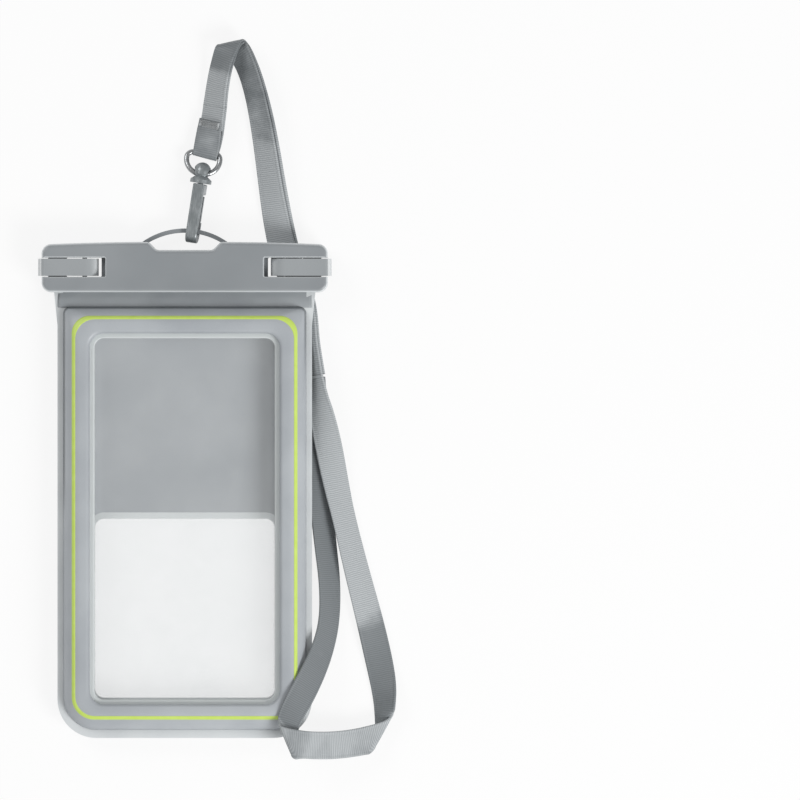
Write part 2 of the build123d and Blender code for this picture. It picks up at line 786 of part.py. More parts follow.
# Ring through the eye: round at the eye, with a straight bar for the webbing
ring_foot = hook_frame.from_local_coords(Vector(0, eye_hole_y, 0))
ring_up = Vector(
    math.sin(ring_lean) * math.cos(ring_tilt),
    math.cos(ring_lean) * math.cos(ring_tilt),
    -math.sin(ring_tilt),
)
ring_across = Vector(math.cos(ring_lean), -math.sin(ring_lean), 0)
ring_frame = Plane(origin=ring_foot, x_dir=ring_across, z_dir=ring_across.cross(ring_up))

with BuildPart() as d_ring:
    with BuildLine(ring_frame) as ring_line:
        FilletPolyline(
            (ring_width / 2, 0),
            (ring_width / 2, ring_height),
            (-ring_width / 2, ring_height),
            (-ring_width / 2, 0),
            radius=(ring_round, ring_bar_round, ring_bar_round, ring_round),
            close=True,
        )
    with BuildSketch(Plane(origin=ring_line.line @ 0, z_dir=ring_line.line % 0)):
        Circle(ring_wire)
    sweep()
d_ring.part.label = "d_ring"
export_step(d_ring.part, "parts/d_ring.step")

# Webbing folded round the bar of the ring and sewn to itself
with BuildPart() as ring_space:
    with BuildLine(ring_frame) as space_line:
        FilletPolyline(
            (ring_width / 2, 0),
            (ring_width / 2, ring_height),
            (-ring_width / 2, ring_height),
            (-ring_width / 2, 0),
            radius=(ring_round, ring_bar_round, ring_bar_round, ring_round),
            close=True,
        )
    with BuildSketch(Plane(origin=space_line.line @ 0, z_dir=space_line.line % 0)):
        Circle(ring_wire + wrap_gap)
    sweep()

bar_centre = ring_frame.from_local_coords(Vector(0, ring_height, 0))
sewn_drop = math.asin((bar_centre.Z - doubled_z) / sewn_length)
sewn_along = Vector(
    math.sin(sewn_lean) * math.cos(sewn_drop),
    math.cos(sewn_lean) * math.cos(sewn_drop),
    -math.sin(sewn_drop),
)
sewn_across = Vector(math.cos(sewn_lean), -math.sin(sewn_lean), 0)

with BuildPart() as lanyard_sewn_end:
    with BuildSketch(Plane(origin=bar_centre, x_dir=sewn_along, z_dir=sewn_across)):
        Circle(wrap_radius)
        with BuildLine():
            Polyline(
                (0, wrap_radius),
                (wrap_taper, doubled_thickness / 2),
                (sewn_length, doubled_thickness / 2),
                (sewn_length, -doubled_thickness / 2),
                (wrap_taper, -doubled_thickness / 2),
                (0, -wrap_radius),
                close=True,
            )
        make_face()
    extrude(amount=strap_width / 2, both=True)
    add(ring_space.part, mode=Mode.SUBTRACT)
lanyard_sewn_end.part.label = "lanyard_sewn_end"
export_step(lanyard_sewn_end.part, "parts/lanyard_sewn_end.step")

# Routes of the webbing, from point to point along its middle
doubled_start = bar_centre + sewn_along * (sewn_length + sewn_gap)
doubled_route = [
    (doubled_start.X, doubled_start.Y, doubled_z),
    (14.9, 167.0, doubled_z),
    (12.2, 177.0, doubled_z),
    (17.2, 185.0, doubled_z),
    (27.0, 185.2, doubled_z),
    (32.3, 177.0, doubled_z),
    (29.5, 163.0, doubled_z),
    (32.5, 146.0, doubled_z),
    (36.7, 124.0, doubled_z),
    (40.7, 102.0, doubled_z),
    (46.9, 86.0, doubled_z),
    (55.5, 71.5, doubled_z),
    (57.0, 58.0, doubled_z),
    (57.0, 45.0, doubled_z),
]
loop_route = [
    (57.0, 45.0, upper_layer_z),
    (57.0, 34.0, upper_layer_z),
    (59.8, 15.0, upper_layer_z),
    (64.3, -6.0, upper_layer_z),
    (70.0, -32.0, upper_layer_z),
    (78.0, -62.0, 1.3),
    (85.0, -84.0, lower_layer_z),
    (86.6, -99.0, lower_layer_z),
    (77.0, -109.5, lower_layer_z),
    (64.0, -112.6, 1.6),
    (51.0, -114.4, 12.0),
    (38.5, -112.5, 21.2),
    (33.2, -101.5, 21.6),
    (38.5, -91.0, 20.2),
    (48.0, -78.0, 19.3),
    (57.0, -66.0, 17.5),
    (61.0, -55.0, 11.0),
    (60.5, -45.0, 4.0),
    (59.0, -35.0, lower_layer_z),
    (57.5, -14.0, lower_layer_z),
    (54.8, 4.0, lower_layer_z),
    (54.6, 22.0, lower_layer_z),
    (57.0, 34.0, lower_layer_z),
    (57.0, 45.0, lower_layer_z),
]


def level_guide(points):
    """The same route, higher up: it keeps a strap that follows the route level across."""
    return [(x, y, z + guide_height) for x, y, z in points]


with BuildPart() as lanyard_doubled_strap:
    with BuildLine() as doubled_line:
        FilletPolyline(*doubled_route, radius=corner_radii(doubled_route))
    with BuildLine(mode=Mode.PRIVATE) as doubled_guide:
        FilletPolyline(*level_guide(doubled_route), radius=corner_radii(doubled_route))
    along = doubled_line.line % 0
    with BuildSketch(Plane(origin=doubled_line.line @ 0, x_dir=along.cross(Vector(0, 0, 1)), z_dir=along)):
        Rectangle(strap_width, doubled_thickness)
    sweep(path=doubled_line.line, binormal=doubled_guide.line.wires()[0])
lanyard_doubled_strap.part.label = "lanyard_doubled_strap"
export_step(lanyard_doubled_strap.part, "parts/lanyard_doubled_strap.step")

with BuildPart() as lanyard_loop:
    with BuildLine() as loop_line:
        FilletPolyline(*loop_route, radius=corner_radii(loop_route))
    with BuildLine(mode=Mode.PRIVATE) as loop_guide:
        FilletPolyline(*level_guide(loop_route), radius=corner_radii(loop_route))
    along = loop_line.line % 0
    with BuildSketch(Plane(origin=loop_line.line @ 0, x_dir=along.cross(Vector(0, 0, 1)), z_dir=along)):
        Rectangle(strap_width, strap_thickness)
    sweep(path=loop_line.line, binormal=loop_guide.line.wires()[0])
lanyard_loop.part.label = "lanyard_loop"
export_step(lanyard_loop.part, "parts/lanyard_loop.step")

for name, line, route, strap, thickness in (
    ("doubled strap", doubled_line, doubled_route, lanyard_doubled_strap, doubled_thickness),
    ("loop", loop_line, loop_route, lanyard_loop, strap_thickness),
):
    radii = ", ".join(f"{radius:.1f}" for radius in corner_radii(route))
    length = sum(edge.length for edge in line.edges())
    print(f"{name}: length {length:.1f}, arc radii {radii}")
    swept = length * strap_width * thickness
    print(f"{name}: volume {strap.part.volume:.0f}, section by length {swept:.0f}")
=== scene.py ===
# %% [markdown]
# # A waterproof phone case on its neck lanyard
#
# The case is a soft pouch of welded film with two air cushions, two clear windows, a clamp bar
# with two cam levers and a woven lanyard on a snap hook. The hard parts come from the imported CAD
# model and only get their finishes here. The soft parts, which are the cushions, the coloured
# line, the neck and the webbing, are made new, because a plain solid has no slack in it.

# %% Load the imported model
import math

import bpy
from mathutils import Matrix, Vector, noise


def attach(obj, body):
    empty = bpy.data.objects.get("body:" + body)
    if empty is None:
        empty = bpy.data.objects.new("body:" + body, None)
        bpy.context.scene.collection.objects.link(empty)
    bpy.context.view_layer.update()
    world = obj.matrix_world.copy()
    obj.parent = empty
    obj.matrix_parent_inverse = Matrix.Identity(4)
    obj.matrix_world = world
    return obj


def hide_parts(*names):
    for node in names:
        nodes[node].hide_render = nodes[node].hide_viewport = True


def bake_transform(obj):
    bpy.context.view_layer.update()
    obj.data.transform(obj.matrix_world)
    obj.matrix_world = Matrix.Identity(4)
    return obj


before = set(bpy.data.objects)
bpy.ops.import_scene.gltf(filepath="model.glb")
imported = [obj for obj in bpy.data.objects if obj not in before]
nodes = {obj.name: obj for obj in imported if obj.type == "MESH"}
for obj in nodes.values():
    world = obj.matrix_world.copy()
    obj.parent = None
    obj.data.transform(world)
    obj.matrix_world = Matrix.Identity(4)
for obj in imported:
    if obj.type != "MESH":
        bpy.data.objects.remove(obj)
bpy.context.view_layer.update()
bpy.ops.object.select_all(action="DESELECT")
print("nodes in the frame:", len(nodes))

# %% [markdown]
# ## Camera, floor and light
#
# The case lies on its back and the camera looks straight down on it from 9 m, through a very long
# lens, so its sides hardly show. The lamps are large and soft. The floor is pale. What the camera
# sees of it is lifted towards white with a Light Path node, and half as much in reflections. That
# keeps its soft shadow and adds no light to the matt faces of the case.

# %% Camera above the case
picture_mm = 336.0
picture_middle = (0.0903, 0.0349)
camera_height = 9.0
sensor_mm = 36.0
camera_data = bpy.data.cameras.new("camera")
camera_data.sensor_width = sensor_mm
camera_data.lens = sensor_mm * camera_height * 1000 / picture_mm
camera = bpy.data.objects.new("camera", camera_data)
camera.location = (*picture_middle, camera_height)
bpy.context.collection.objects.link(camera)
bpy.context.scene.camera = camera
print("focal length in mm:", round(camera_data.lens))

# %% [markdown]
# ## Shader sums in Python
#
# Node trees are quicker to read as sums. A Wire is one output socket: adding or multiplying it
# makes the Math node that does so. A Finish is one material, and its one method node() makes any
# other node from its type, its settings and its inputs.


# %% A socket that takes part in sums
class Wire:
    """An output socket. Sums with it add their Math nodes to its material."""

    def __init__(self, finish, socket):
        self.finish = finish
        self.socket = socket

    def __add__(self, other):
        return self.finish.sum("ADD", self, other)

    def __sub__(self, other):
        return self.finish.sum("SUBTRACT", self, other)

    def __rsub__(self, other):
        return self.finish.sum("SUBTRACT", other, self)

    def __mul__(self, other):
        return self.finish.sum("MULTIPLY", self, other)

    def __pow__(self, other):
        return self.finish.sum("POWER", self, other)

    def __lt__(self, other):
        return self.finish.sum("LESS_THAN", self, other)

    def __abs__(self):
        return self.finish.sum("ABSOLUTE", self)

    __radd__ = __add__
    __rmul__ = __mul__


# %% One material and its nodes
class Finish:
    """A material whose nodes are made from Python expressions."""

    def __init__(self, name):
        self.material = bpy.data.materials.new(name)
        self.material.use_nodes = True
        self.tree = self.material.node_tree
        self.tree.nodes.clear()

    def node(self, kind, settings=None, inputs=None, output=0):
        made = self.tree.nodes.new(kind)
        for name, value in (settings or {}).items():
            setattr(made, name, value)
        for name, value in (inputs or {}).items():
            if isinstance(value, Wire):
                self.tree.links.new(value.socket, made.inputs[name])
            else:
                made.inputs[name].default_value = value
        if len(made.outputs):
            return Wire(self, made.outputs[output])

    def sum(self, operation, first, second=0.0):
        return self.node("ShaderNodeMath", {"operation": operation}, {0: first, 1: second})

    def place(self):
        """x, y and z on the object, in millimetres."""
        coordinates = self.node("ShaderNodeTexCoord", output="Object")
        split = self.node("ShaderNodeSeparateXYZ", inputs={0: coordinates})
        outputs = split.socket.node.outputs
        return [Wire(self, outputs[axis]) * 1000.0 for axis in range(3)]

    def vector(self, x, y, z=0.0):
        return self.node("ShaderNodeCombineXYZ", inputs={0: x, 1: y, 2: z})

    def noise(self, scale, detail=2.0, vector=None):
        """Noise from 0 to 1. The scale counts its grains in a metre, or in a unit of the vector."""
        vector = vector or self.node("ShaderNodeTexCoord", output="Object")
        inputs = {"Vector": vector, "Scale": scale, "Detail": detail}
        return self.node("ShaderNodeTexNoise", inputs=inputs)

    def step(self, value, low, high, start=0.0, end=1.0):
        """A smooth step from start to end as the value goes from low to high."""
        return self.node(
            "ShaderNodeMapRange",
            {"interpolation_type": "SMOOTHSTEP"},
            {"Value": value, "From Min": low, "From Max": high, "To Min": start, "To Max": end},
        )

    def mix(self, factor, first, second):
        """One colour that fades into another."""
        inputs = {0: factor, 6: first, 7: second}
        return self.node("ShaderNodeMix", {"data_type": "RGBA"}, inputs, output=2)

    def bump(self, height, distance):
        """Relief from a height of 0 to 1, this many metres deep."""
        inputs = {"Height": height, "Distance": distance, "Strength": 1.0}
        return self.node("ShaderNodeBump", inputs=inputs)

    def frame_distance(self, x, y, centre, half, corner):
        """Distance in mm to a rounded rectangle: negative inside it."""
        reach_x = abs(x - centre[0]) - (half[0] - corner)
        reach_y = abs(y - centre[1]) - (half[1] - corner)
        out_x = self.sum("MAXIMUM", reach_x, 0.0)
        out_y = self.sum("MAXIMUM", reach_y, 0.0)
        inner = self.sum("MINIMUM", self.sum("MAXIMUM", reach_x, reach_y), 0.0)
        return (out_x * out_x + out_y * out_y) ** 0.5 + inner - corner

    def surface(self, inputs):
        shader = self.node("ShaderNodeBsdfPrincipled", inputs=inputs)
        self.node("ShaderNodeOutputMaterial", inputs={"Surface": shader})
        return self.material


def grey(red, green, blue):
    """A colour written as 0 to 255, as the shader wants it."""
    linear = [((value / 255 + 0.055) / 1.055) ** 2.4 for value in (red, green, blue)]
    return (*linear, 1.0)


# %% Floor, world and lamps
white = (1.0, 1.0, 1.0, 1.0)
floor_to_camera = 0.86
floor_in_reflections = 0.5
world_light = 0.4
world_to_camera = 1.0
floor_finish = Finish("pale_floor")
floor_seen = floor_finish.node("ShaderNodeLightPath", output="Is Camera Ray")
floor_shine = floor_finish.node("ShaderNodeLightPath", output="Is Glossy Ray")
floor_matt = floor_finish.node("ShaderNodeBsdfDiffuse", inputs={"Color": (0.9, 0.9, 0.9, 1.0)})
floor_white = floor_finish.node("ShaderNodeEmission", inputs={"Color": white})
floor_lift = floor_seen * floor_to_camera + floor_shine * floor_in_reflections
lifted = floor_finish.node(
    "ShaderNodeMixShader",
    inputs={0: floor_lift, 1: floor_matt, 2: floor_white},
)
floor_finish.node("ShaderNodeOutputMaterial", inputs={"Surface": lifted})

bpy.ops.mesh.primitive_plane_add(size=8.0, location=(0.0, 0.0, -0.0002))
floor = bpy.context.object
floor.name = "floor"
floor.data.materials.append(floor_finish.material)

world = bpy.data.worlds.new("studio")
bpy.context.scene.world = world
world.use_nodes = True
world.node_tree.nodes.clear()
sky = Finish.__new__(Finish)
sky.tree = world.node_tree
sky_seen = sky.node("ShaderNodeLightPath", output="Is Camera Ray")
sky_level = sky_seen * (world_to_camera - world_light) + world_light
sky_light = sky.node("ShaderNodeBackground", inputs={"Color": white, "Strength": sky_level})
sky.node("ShaderNodeOutputWorld", inputs={"Surface": sky_light})

# %% Two soft lamps
lamp_aim = Vector((0.03, 0.03, 0.0))


def soft_lamp(name, place, size, power):
    """A large square lamp that points at the case."""
    data = bpy.data.lights.new(name, "AREA")
    data.size = size
    data.energy = power
    lamp = bpy.data.objects.new(name, data)
    lamp.location = place
    way = lamp_aim - Vector(place)
    lamp.rotation_euler = way.to_track_quat("-Z", "Y").to_euler()
    bpy.context.collection.objects.link(lamp)


soft_lamp("key_lamp", (1.15, -0.95, 1.25), 0.8, 25.0)
soft_lamp("fill_lamp", (-1.15, 1.0, 1.3), 0.9, 10.0)
bpy.context.scene.view_settings.view_transform = "Standard"


# %% [markdown]
# ## The lanyard's line
#
# The lanyard is one length of flat webbing: folded round the ring and sewn, doubled over the
# clamp, and then one open loop beside the pouch. A strap can't bend in its own plane, so it
# stands on its edge at turns, leans on the pouch, or folds over on itself. Each stretch follows
# one NURBS line. A second NURBS with the same number of points carries the way to its right
# edge, so the two are read at the same places. A roll is counted about the line: positive lifts
# the edge on the right of the way that the line runs.

# %% Read a smooth line from its control points
webbing_width = 11.6
webbing_thickness = 1.1


def read_line(points, steps):
    """Places along the NURBS line with these control points, in the units that they have."""
    curve = bpy.data.curves.new("reading", "CURVE")
    curve.dimensions = "3D"
    line = curve.splines.new("NURBS")
    line.points.add(len(points) - 1)
    for point, place in zip(line.points, points):
        point.co = (*place, 1.0)
    line.order_u = 3
    line.use_endpoint_u = True
    line.resolution_u = steps
    holder = bpy.data.objects.new("reading", curve)
    bpy.context.collection.objects.link(holder)
    mesh = bpy.data.meshes.new_from_object(holder)
    places = [vertex.co.copy() for vertex in mesh.vertices]
    bpy.data.objects.remove(holder)
    bpy.data.curves.remove(curve)
    bpy.data.meshes.remove(mesh)
    return places


def line_length(places):
    return sum((b - a).length for a, b in zip(places, places[1:]))


# %% [markdown]
# The doubled part starts at the sewn end and climbs to the top of the lanyard with its right edge
# high. There it turns over and away, and comes down behind itself and behind the clamp. The loop
# leaves it beside the pouch, runs down and out, folds over at the lower right, crosses to the
# pouch's corner, folds under there, and climbs back beside the pouch. Each row is x, y and z in
# millimetres, and the roll in degrees. At a fold the strap lies straight across its crease
# instead, so its rows there give the way from the middle of the crease to its end.

# %% Routes of the two stretches
top_crease = (5.5, 1.2, 0.6)
doubled_rows = [
    (12.7, 158.22, 4.9, 38),
    (13.3, 163.5, 5.4, 42),
    (14.5, 171.0, 6.6, 43),
    (15.9, 177.0, 8.2, 44),
    (18.2, 184.0, 8.2, top_crease),
    (20.2, 184.4, 3.6, top_crease),
    (23.8, 180.0, 4.4, 140),
    (27.2, 172.4, 5.0, 134),
    (30.4, 161.0, 5.0, 135),
    (33.4, 145.0, 4.7, 141),
    (36.3, 124.0, 4.1, 148),
    (38.8, 108.0, 2.7, 162),
    (41.8, 95.0, 1.3, 180),
    (45.8, 84.0, 1.3, 180),
    (49.0, 76.0, 3.2, 158),
    (51.3, 69.0, 4.9, 136),
    (52.2, 60.0, 5.2, 130),
    (53.5, 52.0, 5.3, 129),
    (54.6, 45.0, 5.5, 130),
]
right_crease = (-3.95, -7.2, 0.0)
left_crease = (2.95, -7.0, 0.0)
after_left_crease = (4.5, -2.6, 0.3)
loop_rows = [
    (54.14, 45.0, 5.89, -50),
    (55.4, 37.0, 6.6, -42),
    (57.6, 28.5, 5.7, -24),
    (60.4, 15.0, 4.5, 2),
    (63.4, 0.0, 4.5, 22),
    (66.6, -14.0, 4.6, 36),
    (71.9, -36.0, 3.8, 27),
    (77.2, -56.0, 2.4, 14),
    (81.4, -74.0, 1.2, 0),
    (83.7, -86.0, 2.8, -22),
    (84.0, -95.4, 4.4, -44),
    (83.9, -103.2, 3.6, right_crease),
    (81.5, -106.7, 7.0, right_crease),
    (75.6, -108.2, 7.2, -180),
    (68.5, -109.4, 9.8, -180),
    (61.5, -110.0, 13.6, -180),
    (54.0, -109.9, 18.0, -180),
    (49.4, -109.5, 21.6, -180),
    (42.9, -109.0, 22.3, left_crease),
    (42.2, -106.2, 18.9, left_crease),
    (43.6, -98.8, 18.7, after_left_crease),
    (48.3, -90.0, 18.6, -8),
    (53.8, -79.6, 15.0, -24),
    (58.3, -68.6, 9.2, -38),
    (60.8, -57.0, 5.8, -43),
    (60.9, -42.0, 4.6, -41),
    (59.0, -26.0, 4.4, -38),
    (57.2, -8.0, 4.0, -35),
    (56.4, 8.0, 2.6, -12),
    (55.5, 22.0, 2.5, 14),
    (55.0, 34.0, 4.3, 38),
    (55.06, 45.0, 5.11, 50),
]


# %% [markdown]
# The webbing itself is a thin band with a cord in each selvedge. Its section is swept along the
# line, with its own UV map in millimetres, across and along, so that the weave follows the strap
# round every turn.

# %% Band of webbing along a line
def band_section(width, thickness):
    """Half of the section's points lie on top, half below. Each is across, up."""
    half = width / 2
    top = thickness / 2
    upper = [
        (half, 0.0),
        (half - 0.12, 0.62 * top),
        (half - 0.45, top),
        (half - 0.85, 0.98 * top),
        (half - 1.15, 0.8 * top),
        (half - 1.6, 0.92 * top),
        (half / 2, 0.96 * top),
        (0.0, top),
    ]
    mirrored = [(-x, z) for x, z in reversed(upper[:-1])]
    full = upper + mirrored
    return full + [(x, -z) for x, z in reversed(full[1:-1])]


def edge_way(rows, index):
    """The way from the line to the strap's right edge, from this row's roll or crease."""
    value = rows[index][3]
    if isinstance(value, tuple):
        return value
    before = Vector(rows[max(index - 1, 0)][:3])
    after = Vector(rows[min(index + 1, len(rows) - 1)][:3])
    along = (after - before).normalized()
    level = along.cross(Vector((0, 0, 1))).normalized()
    roll = math.radians(value)
    way = level * math.cos(roll) + level.cross(along) * math.sin(roll)
    return tuple(way * webbing_width / 2)


def band_frames(rows, steps):
    """Places, sides per millimetre of half width, and upward directions along a route."""
    places = read_line([row[:3] for row in rows], steps)
    edges = read_line([edge_way(rows, index) for index in range(len(rows))], steps)
    frames = []
    last = len(places) - 1
    for index, (place, edge) in enumerate(zip(places, edges)):
        along = (places[min(index + 1, last)] - places[max(index - 1, 0)]).normalized()
        side = edge / (webbing_width / 2)
        frames.append((place, side, side.cross(along).normalized()))
    return frames


def new_piece(name, points, faces, finish):
    """A smooth mesh piece from points in millimetres."""
    mesh = bpy.data.meshes.new(name)
    mesh.from_pydata([Vector(point) / 1000 for point in points], [], faces)
    mesh.materials.append(finish)
    mesh.polygons.foreach_set("use_smooth", [True] * len(mesh.polygons))
    piece = bpy.data.objects.new(name, mesh)
    bpy.context.collection.objects.link(piece)
    return piece


def between(value, stops):
    """Straight steps between the stops, each a place and a value."""
    for (low, first), (high, second) in zip(stops, stops[1:]):
        if value <= high:
            return first + (second - first) * (value - low) / (high - low)
    return stops[-1][1]


def sweep_band(frames, section, rise=0.0, ribs=((0.0, 1.0), (1.0, 1.0))):
    """Points, faces and two UV places of a closed band. The second is how crisp its ribs are, which
    also sets their painted light and shade.
    """
    points, faces, weave, crisp = [], [], [], []
    count = len(section)
    around = [0.0]
    for first, second in zip(section, section[1:] + section[:1]):
        around.append(around[-1] + math.dist(first, second))
    travelled = 0.0
    rows = []
    last = len(frames) - 1
    for index, (place, side, upward) in enumerate(frames):
        if index:
            travelled += (place - frames[index - 1][0]).length
        way = (frames[min(index + 1, last)][0] - frames[max(index - 1, 0)][0]).normalized()
        lean = side.dot(way)
        reaches = [travelled + section[k % count][0] * lean for k in range(count + 1)]
        rows.append(list(zip(around, reaches)))
        points += [place + side * across + upward * (up + rise) for across, up in section]
    for ring in range(last):
        level = between(rows[ring][0][1], ribs)
        for k in range(count):
            corners = [(ring, k), (ring, k + 1), (ring + 1, k + 1), (ring + 1, k)]
            faces.append([r * count + j % count for r, j in corners])
            weave.append([rows[r][j] for r, j in corners])
            crisp.append([(level, 0.0)] * 4)
    for ring, order in ((0, range(count)), (last, range(count - 1, -1, -1))):
        faces.append([ring * count + k for k in order])
        weave.append([rows[ring][k] for k in order])
        crisp.append([(1.0, 0.0)] * count)
    return points, faces, weave, crisp


def woven_piece(name, bands):
    """One piece of webbing from its bands, with both UV maps."""
    points, faces, weave, crisp = [], [], [], []
    for band in bands:
        faces += [[index + len(points) for index in face] for face in band[1]]
        points += band[0]
        weave += band[2]
        crisp += band[3]
    piece = new_piece(name, points, faces, webbing_finish)
    for layer_name, places in (("weave", weave), ("crisp", crisp)):
        layer = piece.data.uv_layers.new(name=layer_name)
        flat = [value for corners in places for place in corners for value in place]
        layer.data.foreach_set("uv", flat)
    return piece


# %% [markdown]
# ## Woven webbing
#
# Polyester webbing shows weft ribs across the strap and fine warp threads along it. Both are
# waves on the band's UV map. Their product gives the little blocks of a plain weave, which drive
# a bump, the roughness, and painted shade in the gaps with painted light on the crests. Long
# stretches are not the same all over: some are smoothed and darker, as painted shade for how
# the light falls on them, and elsewhere the ribs are crisp and paler, as painted light. A second
# UV map carries that along each band, and a slow noise blurs it.

# %% Webbing finish
rib_pitch = 0.85
warp_pitch = 0.55
webbing = Finish("woven_webbing")
weave_map = webbing.node("ShaderNodeUVMap", {"uv_map": "weave"})
weave_split = webbing.node("ShaderNodeSeparateXYZ", inputs={0: weave_map}).socket.node.outputs
across = Wire(webbing, weave_split[0])
along = Wire(webbing, weave_split[1])
crisp_map = webbing.node("ShaderNodeUVMap", {"uv_map": "crisp"})
crisp_split = webbing.node("ShaderNodeSeparateXYZ", inputs={0: crisp_map}).socket.node.outputs
mottle = webbing.noise(0.09, 3.0, webbing.vector(across * 0.7, along))
# This mask is 1 where the ribs are crisp under painted light and 0 where they are smoothed under
# painted shade.
ribbed_and_lit = webbing.step(Wire(webbing, crisp_split[0]) + (mottle - 0.5) * 0.9, 0.25, 0.75)
wobble = webbing.noise(0.35, 2.0, webbing.vector(across * 0.6, along)) - 0.5
rib_phase = along + wobble * 0.6
rib = webbing.sum("SINE", rib_phase * (2 * math.pi / rib_pitch)) * 0.5 + 0.5
warp = webbing.sum("SINE", (across + wobble * 0.2) * (2 * math.pi / warp_pitch))
turn = webbing.sum("SINE", rib_phase * (math.pi / rib_pitch))
fuzz = webbing.noise(3.0, 4.0, webbing.vector(across, along))
relief = rib * 0.5 + (warp * turn * 0.5 + 0.5) * 0.25 + fuzz * 0.25
# This mask paints shade into the weave's gaps and light onto its crests.
crest_painted_light = webbing.step(relief, 0.2, 0.75)
# Two copies of one webbing grey: a lit one for painted light and a shaded one for painted shade.
lit_webbing_tone = webbing.mix(crest_painted_light, grey(158, 163, 166), grey(188, 192, 194))
shaded_webbing_tone = webbing.mix(crest_painted_light, grey(114, 119, 122), grey(130, 135, 138))
webbing_finish = webbing.surface(
    {
        "Base Color": webbing.mix(ribbed_and_lit, shaded_webbing_tone, lit_webbing_tone),
        "Roughness": webbing.step(ribbed_and_lit + relief * 0.3, 0.0, 1.3, 0.5, 0.75),
        "Sheen Weight": 0.15,
        "Sheen Roughness": 0.4,
        "Normal": webbing.bump(relief * (ribbed_and_lit * 0.75 + 0.25), 0.0001),
    }
)
print("weave: ribs", rib_pitch, "mm, warp", warp_pitch, "mm")

# %% The doubled part of the strap
line_steps = 14
doubled_frames = band_frames(doubled_rows, line_steps)
single_section = band_section(webbing_width, webbing_thickness)
layer_gap = 0.1
layer_rise = (webbing_thickness + layer_gap) / 2
slip_most = 1.2
slip_start = 0.3
slip_span = 0.6


def slipped(frames):
    """The frames of a layer that has slipped sideways along the middle of its way."""
    moved = []
    for index, (place, side, upward) in enumerate(frames):
        share = (index / (len(frames) - 1) - slip_start) / slip_span
        slip = slip_most * math.sin(math.pi * min(1.0, max(0.0, share))) ** 2
        moved.append((place + side * slip, side, upward))
    return moved


# Stops along the strap for how crisp its ribs are and how light: low values are smoothed and under
# painted shade.
doubled_ribs_and_shade = ((0.0, 1.0), (11.0, 0.9), (17.0, 0.3), (30.0, 0.3))
doubled_ribs_and_shade += ((62.0, 0.45), (80.0, 0.8), (120.0, 1.0))
near_band = sweep_band(doubled_frames, single_section, -layer_rise, doubled_ribs_and_shade)
far_band = sweep_band(slipped(doubled_frames), single_section, layer_rise, doubled_ribs_and_shade)
doubled_strap = woven_piece("strap_doubled", (near_band, far_band))
doubled_path = [place / 1000 for place, side, upward in doubled_frames]
print("doubled part in mm:", round(1000 * line_length(doubled_path), 1))

# %% The single loop of the strap
loop_frames = band_frames(loop_rows, line_steps)
# Stops along the loop for how crisp its ribs are and how light: low values are smoothed and under
# painted shade.
loop_ribs_and_shade = ((0.0, 0.8), (60.0, 0.9), (96.0, 0.9), (112.0, 0.1), (150.0, 0.1), (156.0, 0.6))
loop_ribs_and_shade += ((176.0, 0.75), (200.0, 0.55), (206.0, 0.1), (290.0, 0.15), (360.0, 0.35))
loop_strap = woven_piece("strap_loop", (sweep_band(loop_frames, single_section, 0.0, loop_ribs_and_shade),))
loop_path = [place / 1000 for place, side, upward in loop_frames]
print("loop in mm:", round(1000 * line_length(loop_path), 1))

# %% [markdown]
# ## Sewn end
#
# One layer of the strap runs down to the ring, goes round its bar and comes up again in front as
# a flap. The other layer ends under that flap, and a dense zigzag of thread holds all three. The
# sewn end's middle line leaves the bar and meets the doubled part in the same direction and with
# the same roll, so the strap reads as one.

# %% Webbing folded round the ring's bar
sewn_rows = [
    (8.7, 138.62, 2.7, 3),
    (9.7, 142.4, 3.15, 9),
    (11.2, 148.5, 4.1, 30),
    (12.2, 154.0, 4.5, 38),
    (12.7, 158.22, 4.9, 38),
]
wrap_radius = 1.75
flap_reach = 14.3
tucked_reach = 10.5
gather_reach = 9.0
gathered_share = 0.91
sewn_steps = 12
wrap_step = 15
sewn_frames = band_frames(sewn_rows, sewn_steps)
sewn_reaches = [0.0]
for before, after in zip(sewn_frames, sewn_frames[1:]):
    sewn_reaches.append(sewn_reaches[-1] + (after[0] - before[0]).length)


def drawn_in(side, reach):
    """The strap's side, a little narrower where the ring gathers it."""
    return side * (gathered_share + (1 - gathered_share) * min(1.0, reach / gather_reach))


def bar_gap(reach):
    """How far the layer that goes round the bar lies behind the middle line."""
    share = min(1.0, reach / gather_reach)
    return wrap_radius + (layer_rise - wrap_radius) * share * share * (3 - 2 * share)


def layer_frames(places):
    """Frames for places and sides, with the thickness square to the way."""
    frames = []
    last = len(places) - 1
    for index, (place, side) in enumerate(places):
        way = (places[min(index + 1, last)][0] - places[max(index - 1, 0)][0]).normalized()
        frames.append((place, side, side.cross(way).normalized()))
    return frames


down = [
    (place - upward * bar_gap(reach), drawn_in(side, reach))
    for (place, side, upward), reach in zip(sewn_frames, sewn_reaches)
][::-1]
bar_middle, bar_side, bar_upward = sewn_frames[0]
bar_way = (sewn_frames[1][0] - bar_middle).normalized()
wrap = []
for angle in range(180 - wrap_step, 0, -wrap_step):
    swept = math.radians(angle)
    swing = bar_upward * math.cos(swept) - bar_way * math.sin(swept)
    wrap.append((bar_middle + swing * wrap_radius, drawn_in(bar_side, 0.0)))
flap = [
    (place + upward * wrap_radius, drawn_in(side, reach))
    for (place, side, upward), reach in zip(sewn_frames, sewn_reaches)
    if reach <= flap_reach
]
tucked = [
    (place + upward * layer_rise, side)
    for (place, side, upward), reach in zip(sewn_frames, sewn_reaches)
    if reach >= tucked_reach
]
